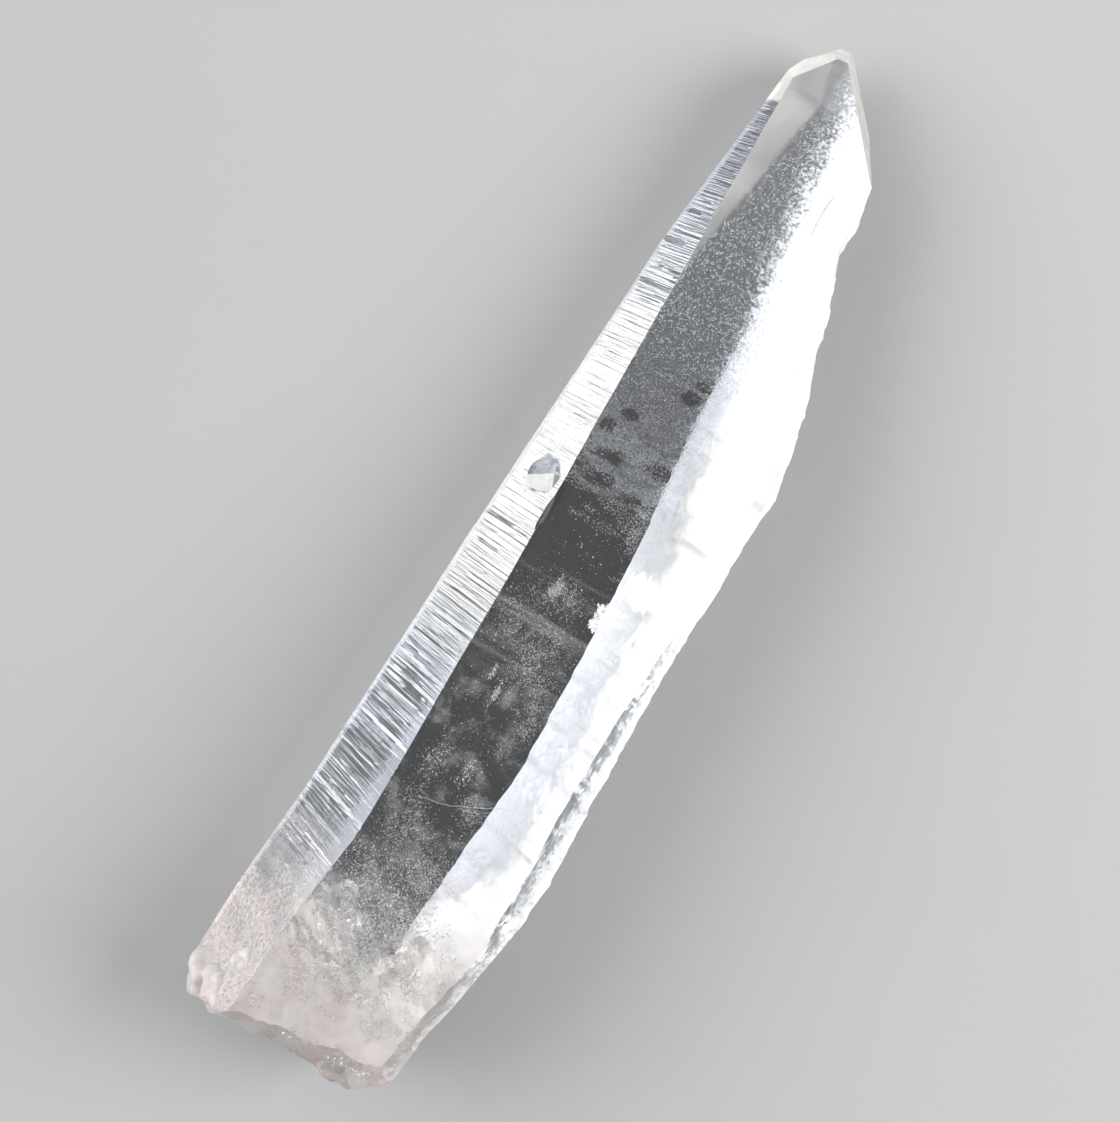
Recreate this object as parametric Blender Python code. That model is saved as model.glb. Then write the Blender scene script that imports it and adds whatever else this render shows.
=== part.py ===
"""A lemurian quartz crystal: one tapering six-sided point, lying on a prism face.

The c-axis runs along +X, from the broken base to the tip, and the crystal rests on its
back face at z = 0. The prism faces meet at about 60 degrees and taper towards the tip in
treads and risers, the growth lines of this habit. Flat faces close the tip, knobs of
fused quartz stand on the broken base, and chips run along the acute right-hand edge.
Lengths are in millimetres until the last step scales the mesh to metres.
"""

import math
import random

import bmesh
import bpy
from mathutils import Matrix, Vector, noise

MM = 0.001

# ---- driving dimensions, mm -------------------------------------------------------
LENGTH = 128.0  # base to tip
OVERRUN = 4.0  # how far the prism runs past each end before it is cut

# The faces that hold to the crystal's angles: the direction of the normal about X in
# degrees (0 = +Y, 90 = +Z), then the distance from the line y = z = 0 at stations along x
FACES = {
    "front": (90, ((0, 20.6), (10, 22.3), (20, 23.0), (30, 22.5), (60, 18.65), (128, 9.81))),
    "upper_left": (30, ((0, 17.5), (14, 17.5), (20, 16.9), (27, 15.85), (60, 13.4), (128, 8.85))),
    "lower_left": (-30, ((0, 8.4), (14, 7.3), (20, 6.9), (60, 5.75), (99, 3.85), (118, 0.9), (128, -0.6))),
    "back": (-90, ((0, 0.0), (128, 0.0))),
}
# The right-hand side grew unevenly: its three edges are given as y at stations along x
BACK_RIGHT_EDGE = ((0, -4.6), (20, -5.0), (40, -7.0), (65, -6.3), (82, -5.0), (105, -4.3), (128, -3.6))
RIGHT_EDGE = (
    (0, -10.9), (11, -11.8), (14, -12.6), (21, -13.8), (27, -15.0), (32, -15.5), (39, -15.3),
    (52, -15.1), (60, -15.2), (66, -15.7), (75, -15.9), (80, -16.3), (86, -15.4), (90, -14.6),
    (95, -12.9), (100, -11.9), (103, -10.8), (107, -9.4), (110, -9.7), (115, -8.9), (128, -6.8),
)
RIGHT_RIDGE = (
    (0, -8.2), (14, -10.5), (22, -12.5), (37, -12.7), (51, -13.1), (60, -13.7), (66, -14.6),
    (74, -15.4), (80, -15.8), (86, -14.9), (90, -14.1), (95, -12.4), (100, -11.3),
    (103, -10.3), (107, -9.0), (110, -9.2), (115, -8.5), (128, -6.4),
)
BAND_ANGLE = math.radians(60)  # how steeply the band between the last two drops

# Growth lines: first and last x, shortest and longest tread, and how far a tread stands
# out at its far end for each mm of its length
GROWTH = {
    "upper_left": (19.0, 118.0, 0.5, 1.9, 0.075),
    "lower_left": (24.0, 112.0, 2.4, 6.5, 0.03),
    "right": (22.0, 112.0, 1.8, 5.2, 0.04),
}
RISER = 0.10  # length of a riser along x
STEP_MAX = 3.2  # longest stretch between two sections

# Unevenness of each edge, in the order of corners_at: how far it wanders, over what length
EDGE_WANDER = ((0.07, 9.0), (0.06, 12.0), (0.10, 8.0), (0.25, 9.0), (0.22, 3.6), (0.20, 5.0))
# The rough band between right ridge and right edge: rows of points on it, how far they
# stand in or out where it is at least its full width, and how long the lumps are
BAND_COLUMNS = 3
BAND_ROUGHNESS = 0.34
BAND_FULL_WIDTH = 3.0
BAND_LUMP_LENGTH = 2.2

# Faces that close the tip: a point on each, then azimuth and elevation of its normal.
# Azimuth 0 is +X and 90 is +Y.
TIP = (
    ((118.0, 6.2, 10.6), 76, 30),  # shoulder where the growth lines end
    ((123.6, 4.9, 9.6), 61, 2),  # narrow face between shoulder and left bevel
    ((122.6, 5.7, 10.4), 43, 12),  # steep face under the left bevel
    ((123.5, 3.1, 10.4), 48, 35),  # left bevel
    ((125.9, 1.2, 10.0), 6, 24),  # bevel at the apex
    ((125.8, -0.1, 10.1), -49, 16),  # right bevel
    ((128.1, 1.3, 5.3), 0, -52),  # big face below the apex
    ((128.2, 1.3, 5.5), 48, -24),
    ((128.4, 0.9, 5.5), -47, -24),
)
# Corners broken off the base, given as the tip's faces are
BASE = (
    ((3.0, -9.9, 10.0), -143, 3),  # right corner
    ((2.6, 0.0, 18.9), 186, 44),  # top of the end
    ((3.6, 0.0, 2.2), 170, -40),  # bottom of the end
)
# The fracture across the base: a mean plane with shell-shaped hollows in it
BREAK_X = 0.6  # the highest point of the surface between two hollows, at y = 0
BREAK_LEAN = 0.05  # how far it comes forward for each mm of y
HOLLOW_WIDTH = 6.5
HOLLOW_DEPTH = 2.0
BREAK_ROUGHNESS = 0.35
BREAK_SPAN = 36.0  # side of the square that covers the base
BREAK_CELLS = 40
CORNER_SWELL = 1.1  # unevenness of the broken corners

# Chips: centre x, y, z and the three radii of the scoop along x, y and z
CHIPS = (
    (97.6, -13.4, 14.0, 2.6, 1.2, 2.4),
    (92.3, -15.2, 14.6, 2.2, 0.9, 1.5),
    (103.6, -12.0, 13.0, 2.6, 1.2, 2.0),
    (108.4, -10.8, 12.0, 1.9, 0.8, 1.5),
    (112.2, -10.1, 12.2, 1.6, 0.9, 1.3),
    (116.3, -9.4, 11.2, 1.3, 0.7, 1.1),
    (84.4, -17.1, 15.2, 2.6, 1.0, 1.6),
    (77.0, -17.3, 15.6, 1.8, 0.9, 1.8),
    (21.0, -15.0, 14.5, 1.3, 0.9, 3.2),
    (57.6, -16.6, 15.0, 1.4, 0.9, 2.4),
    (44.0, -16.9, 14.0, 3.0, 0.9, 2.6),
    (11.2, -13.0, 14.2, 1.8, 0.8, 3.0),
    (5.9, 16.2, 11.0, 0.7, 1.7, 3.4),
)

# The pit beside the left ridge, the nick along the ridge there, and the small
# flat-faced crystal that sits in the pit
PIT = (70.4, 7.3, 15.4, 2.4, 2.2, 6.0)
NICK = (67.0, 4.7, 17.85, 2.3, 0.4, 0.6)
PIT_CRYSTAL = (69.08, 5.96, 11.93, 1.14, 1.93, 1.47)  # centre and half-sizes

# Knobs on the base: centre and the three radii
KNOBS = (
    (4.2, 11.4, 11.0, 3.2, 3.2, 3.8),
    (4.0, 9.2, 15.6, 2.8, 3.0, 2.5),
    (8.9, 8.7, 18.0, 2.1, 1.9, 1.8),
    (3.4, 8.6, 6.6, 2.5, 3.0, 2.7),
    (2.6, 5.6, 12.4, 1.9, 3.0, 3.2),
)
KNOB_LUMPS = 0.3  # unevenness of a knob, as a share of its radius
CHIP_LUMPS = 0.12


def along(stations, x):
    """The value at x on the broken line through stations."""
    if x <= stations[0][0]:
        return stations[0][1]
    for (x0, v0), (x1, v1) in zip(stations, stations[1:]):
        if x <= x1:
            return v0 + (v1 - v0) * (x - x0) / (x1 - x0)
    return stations[-1][1]


def growth_lines(name):
    """The x of each riser on a face, from the base to the tip."""
    first, last, shortest, longest, _ = GROWTH[name]
    draw = random.Random(name)
    risers, x = [], first
    while x < last:
        risers.append(x)
        x += shortest * (longest / shortest) ** draw.random()
    return risers


RISERS = {name: growth_lines(name) for name in GROWTH}


def tread_offset(name, x):
    """How far a striated face stands out of its mean plane: it climbs along a tread, then
    a riser drops it back."""
    if name not in GROWTH:
        return 0.0
    rise = GROWTH[name][-1]
    for start, end in zip(RISERS[name], RISERS[name][1:]):
        if start <= x <= end - RISER:
            return rise * (x - start)
        if start <= x < end:
            return rise * (end - RISER - start) * (end - x) / RISER
    return 0.0


def meet(first, second, x):
    """Where two faces of FACES meet in the section at x, as (y, z)."""
    lines = []
    for name in (first, second):
        turn = math.radians(FACES[name][0])
        distance = along(FACES[name][1], x) + tread_offset(name, x)
        lines.append((math.cos(turn), math.sin(turn), distance))
    (a, b, h), (c, d, k) = lines
    det = a * d - b * c
    return Vector(((h * d - b * k) / det, (a * k - h * c) / det))


def corners_at(x):
    """The six corners of the section at x, as (y, z), from the left ridge round the
    back to the right ridge."""
    top = along(FACES["front"][1], x)
    right, ridge = along(RIGHT_EDGE, x), along(RIGHT_RIDGE, x)
    step = Vector((tread_offset("right", x), 0.0))
    corners = [
        meet("front", "upper_left", x),
        meet("upper_left", "lower_left", x),
        meet("lower_left", "back", x),
        Vector((along(BACK_RIGHT_EDGE, x), 0.0)) - step,
        Vector((right, top - math.tan(BAND_ANGLE) * (ridge - right))) - step,
        Vector((ridge, top)),
    ]
    for i, (amount, length) in enumerate(EDGE_WANDER):
        drift = noise.noise(Vector((x / length, 7.3 * i, 0.4)))
        drift += 0.4 * noise.noise(Vector((2.7 * x / length, 7.3 * i, 5.1)))
        on_flat_face = i in (0, 2, 3, 5)
        way = Vector((1.0, 0.0)) if on_flat_face else corners[i].normalized()
        corners[i] += amount * drift * way
    return corners


def sections():
    """The x of every section: both ends of each riser, and no stretch over STEP_MAX."""
    marks = {-OVERRUN, LENGTH + OVERRUN}
    for risers in RISERS.values():
        for riser in risers[1:]:
            marks |= {round(riser - RISER, 3), round(riser, 3)}
    marks = sorted(marks)
    kept = [marks[0]]
    for mark in marks[1:]:
        gap = mark - kept[-1]
        if gap < 0.6 * RISER:
            continue
        parts = math.ceil(gap / STEP_MAX)
        kept += [kept[-1] + gap * i / parts for i in range(1, parts)]
        kept.append(mark)
    return kept


def ring_points(x):
    """The points of one section in order, with extra ones on the rough band."""
    corners = corners_at(x)
    points = [Vector((x, *corner)) for corner in corners[:5]]
    edge, ridge = corners[4], corners[5]
    outward = Vector((0.0, -math.sin(BAND_ANGLE), math.cos(BAND_ANGLE)))
    depth = min(1.0, (ridge - edge).length / BAND_FULL_WIDTH) * BAND_ROUGHNESS
    for column in range(1, BAND_COLUMNS + 1):
        point = Vector((x, *edge.lerp(ridge, column / (BAND_COLUMNS + 1))))
        at = Vector((x / BAND_LUMP_LENGTH, 1.7 * column, 2.0))
        point += outward * depth * noise.noise(at)
        points.append(point)
    points.append(Vector((x, *ridge)))
    return points


def prism_body():
    bm = bmesh.new()
    rings = [[bm.verts.new(point) for point in ring_points(x)] for x in sections()]
    count = len(rings[0])
    for near, far in zip(rings, rings[1:]):
        for i in range(count):
            j = (i + 1) % count
            bm.faces.new((near[i], far[i], far[j], near[j]))
    bm.faces.new(rings[0])
    bm.faces.new(list(reversed(rings[-1])))
    bmesh.ops.remove_doubles(bm, verts=bm.verts, dist=1e-5)
    bmesh.ops.recalc_face_normals(bm, faces=bm.faces)
    return bm


def direction(azimuth, elevation):
    a, e = math.radians(azimuth), math.radians(elevation)
    return Vector((math.cos(e) * math.cos(a), math.cos(e) * math.sin(a), math.sin(e)))


def cleave(bm, point, normal):
    """Cuts off what lies on the normal's side of a plane, and closes the cut."""
    everything = bm.verts[:] + bm.edges[:] + bm.faces[:]
    bmesh.ops.bisect_plane(
        bm, geom=everything, dist=1e-5, plane_co=point, plane_no=normal, clear_outer=True
    )
    rim = [edge for edge in bm.edges if edge.is_boundary]
    bmesh.ops.holes_fill(bm, edges=rim, sides=0)
    bmesh.ops.recalc_face_normals(bm, faces=bm.faces)


def add_object(name, bm):
    bmesh.ops.triangulate(bm, faces=[f for f in bm.faces if len(f.verts) > 3])
    mesh = bpy.data.meshes.new(name)
    bm.to_mesh(mesh)
    bm.free()
    obj = bpy.data.objects.new(name, mesh)
    bpy.context.scene.collection.objects.link(obj)
    return obj


def lump(name, place, unevenness, detail, seed):
    """A rounded, slightly angular ball: a knob where it is joined, a scoop where cut."""
    bm = bmesh.new()
    bmesh.ops.create_icosphere(bm, subdivisions=detail, radius=1.0)
    for vert in bm.verts:
        vert.co *= 1.0 + unevenness * noise.noise(1.6 * vert.co + Vector((seed, 0, 0)))
    turn = Matrix.Rotation(0.7 * seed, 4, Vector((0.5, 0.3, 1.0)).normalized())
    size = Matrix.Diagonal((*place[3:], 1.0))
    matrix = Matrix.Translation(place[:3]) @ size @ turn
    bmesh.ops.transform(bm, matrix=matrix, verts=bm.verts)
    return add_object(name, bm)


def combine(target, other, operation):
    """Joins or cuts target with other, applies the result and removes other."""
    modifier = target.modifiers.new(other.name, "BOOLEAN")
    modifier.operation = operation
    modifier.solver = "EXACT"
    modifier.object = other
    graph = bpy.context.evaluated_depsgraph_get()
    made = bpy.data.meshes.new_from_object(target.evaluated_get(graph))
    target.modifiers.clear()
    target.data = made
    bpy.data.objects.remove(other)


def break_depth(y, z):
    """The x of the fracture surface at (y, z), with the corners that are broken off."""
    at = Vector((0.3, y / HOLLOW_WIDTH, z / HOLLOW_WIDTH))
    nearest = noise.voronoi(at)[0][0]
    hollow = HOLLOW_DEPTH * (1.0 - min(1.0, nearest) ** 2)
    rough = BREAK_ROUGHNESS * noise.noise(Vector((2.0, 0.5 * y, 0.5 * z)))
    depth = BREAK_X + BREAK_LEAN * y + hollow + rough
    for i, (point, azimuth, elevation) in enumerate(BASE):
        normal = direction(azimuth, elevation)
        corner = point[0] - (normal.y * (y - point[1]) + normal.z * (z - point[2])) / normal.x
        swell = noise.noise(Vector((3.1 * i, 0.28 * y, 0.28 * z)))
        depth = max(depth, corner + CORNER_SWELL * swell)
    return depth


def fracture_block():
    """The block that the fracture takes off the base: its +X face is the fracture."""
    bm = bmesh.new()
    cell = BREAK_SPAN / BREAK_CELLS
    rows = []
    for i in range(BREAK_CELLS + 1):
        y = i * cell - BREAK_SPAN / 2
        heights = [j * cell - 0.2 * BREAK_SPAN for j in range(BREAK_CELLS + 1)]
        rows.append([bm.verts.new((break_depth(y, z), y, z)) for z in heights])
    for near, far in zip(rows, rows[1:]):
        for j in range(BREAK_CELLS):
            bm.faces.new((near[j], far[j], far[j + 1], near[j + 1]))
    surface = bm.faces[:]
    made = bmesh.ops.extrude_face_region(bm, geom=surface)["geom"]
    for vert in made:
        if isinstance(vert, bmesh.types.BMVert):
            vert.co.x = -2.0 * OVERRUN
    bmesh.ops.recalc_face_normals(bm, faces=bm.faces)
    return add_object("fracture_block", bm)


def pit_crystal():
    """The small crystal in the pit: a block with flat faces, turned out of line."""
    bm = bmesh.new()
    bmesh.ops.create_cube(bm, size=2.0)
    size = Matrix.Diagonal((*PIT_CRYSTAL[3:], 1.0))
    face = Matrix.Rotation(math.radians(-40), 4, "X")
    turn = Matrix.Rotation(math.radians(25), 4, "Z")
    place = Matrix.Translation(PIT_CRYSTAL[:3]) @ face @ turn @ size
    bmesh.ops.transform(bm, matrix=place, verts=bm.verts)
    return add_object("pit_crystal", bm)


def build_crystal():
    bm = prism_body()
    for point, azimuth, elevation in TIP:
        cleave(bm, Vector(point), direction(azimuth, elevation))
    crystal = add_object("quartz_crystal", bm)
    combine(crystal, fracture_block(), "DIFFERENCE")
    for i, knob in enumerate(KNOBS):
        combine(crystal, lump(f"knob_{i}", knob, KNOB_LUMPS, 3, i + 1.0), "UNION")
    for i, chip in enumerate((*CHIPS, PIT, NICK)):
        combine(crystal, lump(f"chip_{i}", chip, CHIP_LUMPS, 3, i + 20.0), "DIFFERENCE")
    combine(crystal, pit_crystal(), "UNION")
    return crystal


def rest_on_floor(crystal):
    """Trims what is below the back face, and puts the middle of the box over 0, 0."""
    bm = bmesh.new()
    bm.from_mesh(crystal.data)
    bmesh.ops.remove_doubles(bm, verts=bm.verts, dist=1e-4)
    cleave(bm, Vector((0, 0, 0)), Vector((0, 0, -1)))
    bmesh.ops.triangulate(bm, faces=[f for f in bm.faces if len(f.verts) > 3])
    low = Vector(min(v.co[i] for v in bm.verts) for i in range(3))
    high = Vector(max(v.co[i] for v in bm.verts) for i in range(3))
    middle = (low + high) / 2
    bmesh.ops.translate(bm, vec=(-middle.x, -middle.y, -low.z), verts=bm.verts)
    bmesh.ops.scale(bm, vec=(MM, MM, MM), verts=bm.verts)
    bm.to_mesh(crystal.data)
    bm.free()


def quartz_material():
    material = bpy.data.materials.new("quartz")
    material.use_nodes = True
    shader = material.node_tree.nodes["Principled BSDF"]
    shader.inputs["Base Color"].default_value = (0.93, 0.94, 0.95, 1.0)
    shader.inputs["Roughness"].default_value = 0.25
    shader.inputs["IOR"].default_value = 1.544
    shader.inputs["Transmission Weight"].default_value = 0.7
    return material


def main():
    for obj in list(bpy.data.objects):
        bpy.data.objects.remove(obj)
    crystal = build_crystal()
    rest_on_floor(crystal)
    crystal.data.materials.clear()
    crystal.data.materials.append(quartz_material())


main()
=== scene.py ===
"""The looks of the lemurian quartz crystal: a finer crystal in place of the plain solid, what
shows inside it, its finish, and the stage with camera and light.

The crystal's own frame is the one it is modelled in: millimetres, the c-axis along +X from
the base to the tip, the back face at z = 0. in_frame() turns it into the row frame.
"""

import math
import random

import bmesh
import bpy
import numpy as np
from mathutils import Matrix, Vector, noise


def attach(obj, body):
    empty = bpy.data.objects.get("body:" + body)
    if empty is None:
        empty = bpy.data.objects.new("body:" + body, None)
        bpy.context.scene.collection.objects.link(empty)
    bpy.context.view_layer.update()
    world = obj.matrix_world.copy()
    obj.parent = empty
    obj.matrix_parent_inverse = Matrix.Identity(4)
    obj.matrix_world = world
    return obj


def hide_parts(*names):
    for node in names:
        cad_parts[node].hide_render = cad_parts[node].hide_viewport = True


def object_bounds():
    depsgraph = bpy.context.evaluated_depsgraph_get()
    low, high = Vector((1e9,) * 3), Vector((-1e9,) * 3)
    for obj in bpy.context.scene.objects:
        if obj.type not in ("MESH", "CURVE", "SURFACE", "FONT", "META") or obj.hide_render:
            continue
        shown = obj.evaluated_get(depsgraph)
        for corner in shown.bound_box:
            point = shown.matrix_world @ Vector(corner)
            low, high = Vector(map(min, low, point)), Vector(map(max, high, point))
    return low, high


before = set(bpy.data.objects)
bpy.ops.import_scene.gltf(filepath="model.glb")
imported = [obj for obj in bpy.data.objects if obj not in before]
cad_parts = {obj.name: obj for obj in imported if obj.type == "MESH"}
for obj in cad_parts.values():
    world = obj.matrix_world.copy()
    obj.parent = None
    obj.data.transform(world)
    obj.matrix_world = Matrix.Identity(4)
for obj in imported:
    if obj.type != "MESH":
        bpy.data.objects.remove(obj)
CAD_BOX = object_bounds()

MM = 0.001
NODE = "quartz_crystal"
CENTRE = (64.3225, -0.7872)  # x and y of the row frame's origin, in the crystal's own mm

# ---- the crystal's shape, mm: the values of the solid ------------------------------
LENGTH = 128.0
OVERRUN = 4.0  # how far the prism runs past each end before it is cut

# Faces: the direction of the normal about X in degrees, then the distance from the line
# y = z = 0 at stations along x
FACES = {
    "front": (90, ((0, 20.6), (10, 22.3), (20, 22.98), (30, 22.5), (60, 18.65), (128, 9.81))),
    "upper_left": (30, ((0, 17.5), (14, 17.5), (20, 16.9), (27, 15.85), (60, 13.4), (128, 8.85))),
    "lower_left": (-30, (
        (0, 8.4), (14, 7.3), (20, 6.9), (60, 5.75), (99, 3.85), (118, 0.9), (128, -0.6),
    )),
    "back": (-90, ((0, 0.0), (128, 0.0))),
}
# The three edges on the right: y at stations along x
BACK_RIGHT_EDGE = ((0, -4.6), (20, -5.0), (40, -7.0), (65, -6.3), (82, -5.0), (105, -4.3), (128, -3.6))
RIGHT_EDGE = (
    (0, -10.9), (11, -11.8), (14, -12.6), (21, -13.8), (27, -15.0), (32, -15.5), (39, -15.3),
    (52, -15.1), (60, -15.2), (66, -15.7), (75, -15.9), (80, -16.3), (86, -15.4), (90, -14.6),
    (95, -12.9), (100, -11.9), (103, -10.8), (107, -9.4), (110, -9.7), (115, -8.9), (128, -6.8),
)
RIGHT_RIDGE = (
    (0, -8.2), (14, -10.5), (22, -12.5), (37, -12.7), (51, -13.1), (60, -13.7), (66, -14.6),
    (74, -15.4), (80, -15.8), (86, -14.9), (90, -14.1), (95, -12.4), (100, -11.3),
    (103, -10.3), (107, -9.0), (110, -9.2), (115, -8.5), (128, -6.4),
)
BAND_ANGLE = math.radians(60)  # how steeply the band between the last two drops
BAND_FULL_WIDTH = 3.0  # where the band is at its roughest
# Growth steps: first and last x, shortest and longest tread, rise for each mm of a tread
GROWTH = {
    "lower_left": (24.0, 92.0, 2.4, 6.5, 0.02),
    "right": (22.0, 112.0, 1.8, 5.2, 0.04),
}
RISER = {"lower_left": 0.10, "right": 0.9}  # length along x
# How far each edge wanders, over what length, in the order of corners_at
EDGE_WANDER = ((0.07, 9.0), (0.06, 12.0), (0.10, 8.0), (0.25, 9.0), (0.22, 3.6), (0.20, 5.0))
RIGHT_CORNER = 4  # the splintered one of them
SPLINTERS = 1.1  # how far its splinters stand out, as a share of its wander
FLAT_CORNERS = (0, 2, 3, 5)  # those that wander along y, within a level face

# Cuts of the tip and broken corners of the base: a point, azimuth and elevation of the normal
TIP = (
    ((118.0, 6.2, 10.6), 76, 30),
    ((123.6, 4.9, 9.6), 61, 2),
    ((122.6, 5.7, 10.4), 43, 12),
    ((123.5, 3.1, 10.4), 48, 35),
    ((125.9, 1.2, 10.0), 6, 24),
    ((125.8, -0.1, 10.1), -49, 16),
    ((128.1, 1.3, 5.3), 0, -52),
    ((128.2, 1.3, 5.5), 48, -24),
    ((128.4, 0.9, 5.5), -47, -24),
)
BASE = (
    ((3.0, -9.9, 10.0), -143, 3),
    ((2.6, 0.0, 18.9), 186, 44),
    ((3.6, 0.0, 2.2), 170, -40),
)
# The fracture across the base: a leaning plane with shell-shaped hollows
BREAK_X = 0.6
BREAK_LEAN = 0.05  # how far it comes forward for each mm of y
HOLLOW_WIDTH = 6.5
HOLLOW_DEPTH = 2.0
BREAK_ROUGHNESS = 0.35
BREAK_SPAN = 36.0  # side of the square that covers the base
BREAK_BELOW = 0.2  # share of it that reaches below the back face
BREAK_CELLS = 120
CORNER_SWELL = 1.1  # unevenness of the broken corners
BREAK_RIPPLE = 0.22

# Chips, pit, nick beside it, and knobs: centre and the three radii
CHIPS = (
    (97.6, -13.4, 14.0, 2.6, 1.2, 2.4),
    (92.3, -15.2, 14.6, 2.2, 0.9, 1.5),
    (103.6, -12.0, 13.0, 2.6, 1.2, 2.0),
    (108.4, -10.8, 12.0, 1.9, 0.8, 1.5),
    (112.2, -10.1, 12.2, 1.6, 0.9, 1.3),
    (116.3, -9.4, 11.2, 1.3, 0.7, 1.1),
    (84.4, -17.1, 15.2, 2.6, 1.0, 1.6),
    (77.0, -17.3, 15.6, 1.8, 0.9, 1.8),
    (21.0, -15.0, 14.5, 1.3, 0.9, 3.2),
    (57.6, -16.6, 15.0, 1.4, 0.9, 2.4),
    (44.0, -16.9, 14.0, 3.0, 0.9, 2.6),
    (11.2, -13.0, 14.2, 1.8, 0.8, 3.0),
    (5.9, 16.2, 11.0, 0.7, 1.7, 3.4),
)
PIT = (70.4, 7.3, 15.4, 2.4, 2.2, 6.0)
NICK = (67.0, 4.7, 17.85, 2.3, 0.4, 0.6)
KNOB_SEED, CHIP_SEED, PIT_SEED, NICK_SEED = 1.0, 20.0, 33.0, 34.0
PIT_RINGS = 22.0  # waves for each radian round the pit's middle
PIT_RING_DEPTH = 0.03
FACE_INWARD = Vector((0.0, -0.866, -0.5))  # into the crystal from the pit
PIT_CRYSTAL = (69.08, 5.96, 11.93, 1.14, 1.93, 1.47)  # centre and half-sizes
PIT_CRYSTAL_TILT, PIT_CRYSTAL_TURN = math.radians(-40), math.radians(25)
KNOBS = (
    (4.2, 11.4, 11.0, 3.2, 3.2, 3.8),
    (4.0, 9.2, 15.6, 2.8, 3.0, 2.5),
    (8.9, 8.7, 18.0, 2.1, 1.9, 1.8),
    (3.4, 8.6, 6.6, 2.5, 3.0, 2.7),
    (2.6, 5.6, 12.4, 1.9, 3.0, 3.2),
)
KNOB_LUMPS = 0.3  # unevenness, as a share of the radius
CHIP_LUMPS = 0.12

# ---- the finer surface, mm ----------------------------------------------------------
COARSE_PITCH, FINE_PITCH, FINEST_PITCH = 0.45, 0.14, 0.1  # between rings of points
FINEST_FROM = 88.0
SHARP_FROM = math.radians(16)  # turn at which an edge counts as sharp
# Strips across each face, in the order of the corners
STRIPS = {"upper_left": 26, "lower_left": 8, "back": 6, "right": 14, "band": 8, "front": 10}

# Ripples of the other faces: height, length, and a shift that moves them inwards
RIPPLES = {
    "lower_left": ((0.015, 5.0, 0.0),),
    "back": ((-0.01, 5.0, 1.0),),
    "right": ((0.03, 1.7, 0.0), (0.05, 5.0, 0.0)),
    "band": ((0.34, 2.2, 0.0), (0.14, 0.7, 0.0)),
    "front": ((0.012, 6.0, -0.8),),
}
BASE_LUMPS = (0.25, 3.5, -0.5)  # one more ripple of the front, which fades away from the base
BASE_LUMPS_END = 22.0

# Growth lines of the upper-left face: short treads, each with its own slope
STRIAE_FROM = 19.0
STRIAE_TO = 118.2
STRIA_SHORTEST = 0.17
STRIA_LONGEST = 0.75
# Spread of the treads' slopes: gentle where the face is bright, steep at both ends
STRIA_SLOPE = ((19, 0.13), (44, 0.14), (50, 0.07), (88, 0.07), (98, 0.11), (118, 0.11))
STRIA_FINER = ((88, 1.0), (98, 0.6))  # how much shorter the treads are near the tip
STRIA_SLANT = 0.55  # how far a line leans along x across the face, at the base end
STRIA_UPRIGHT_OVER = 38.0  # length over which the lines straighten up
STRIA_LEAST_SLANT = 0.12  # share of the slant that is left then
# Where across the face a line starts and ends, and how it fades out, as shares of the width
STRIA_STARTS = (-0.6, 0.4)
STRIA_ENDS = (0.65, 1.4)
STRIA_FADE = 0.1
STRIA_WAVE = 0.015

# ---- what shows inside, mm ----------------------------------------------------------
# Clouds of dust: centre, the three radii, how many grains, the smallest and largest grain
CLOUDS = (
    ((55.0, 1.8, 12.0), (5.0, 3.0, 4.0), 2300, 0.016, 0.06),
    ((52.5, -2.8, 10.0), (6.5, 3.6, 4.5), 4200, 0.016, 0.06),
    ((59.5, -1.5, 9.0), (1.8, 4.2, 3.5), 1500, 0.016, 0.055),
    ((59.8, -0.4, 13.0), (1.3, 0.7, 1.0), 420, 0.03, 0.10),
    ((37.5, 1.8, 12.0), (2.8, 1.6, 2.5), 650, 0.018, 0.09),
    ((37.3, -1.8, 13.0), (1.5, 0.9, 1.6), 260, 0.025, 0.10),
    ((46.4, -0.3, 12.0), (1.2, 0.4, 1.0), 200, 0.03, 0.10),
    ((48.3, 1.1, 12.0), (1.0, 0.3, 1.0), 120, 0.03, 0.10),
    ((31.0, 1.8, 14.0), (4.5, 3.0, 3.5), 1700, 0.016, 0.07),
    ((33.5, -4.5, 12.0), (2.4, 2.2, 2.6), 1000, 0.016, 0.06),
    ((26.5, -1.0, 12.0), (4.5, 5.0, 6.0), 5200, 0.013, 0.06),
    ((24.0, -4.5, 10.0), (4.0, 2.2, 5.0), 2800, 0.013, 0.06),
    ((46.0, -5.2, 8.0), (4.5, 1.6, 5.0), 1500, 0.016, 0.06),
    ((67.0, -1.5, 9.0), (6.0, 4.0, 5.0), 150, 0.03, 0.09),
    ((42.0, 0.0, 10.0), (10.0, 5.5, 6.0), 900, 0.016, 0.06),
    ((71.0, -5.0, 4.0), (4.5, 1.2, 3.0), 900, 0.018, 0.06),
    ((14.0, 0.0, 11.0), (9.0, 11.0, 9.0), 9500, 0.02, 0.10),
    ((7.0, 0.0, 10.0), (6.0, 11.0, 9.0), 5500, 0.02, 0.11),
)
CLUMP_SIZE = 3.2  # of the clumps that the dust gathers in
VEIL_SIZE = 4.0  # distance between folds of the veils
VEIL_THICKNESS = 0.12  # as a share of that
LOOSE_SHARE = 0.07  # of the grains that are in no veil
GRAIN_RARITY = 3.5  # how much rarer large grains are
GRAIN_FLATNESS = 0.5
INSIDE_MARGIN = 0.35  # how far a grain keeps from the surface
INSIDE_FROM, INSIDE_TO = 4.2, 124.0  # the x between which grains lie

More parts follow.
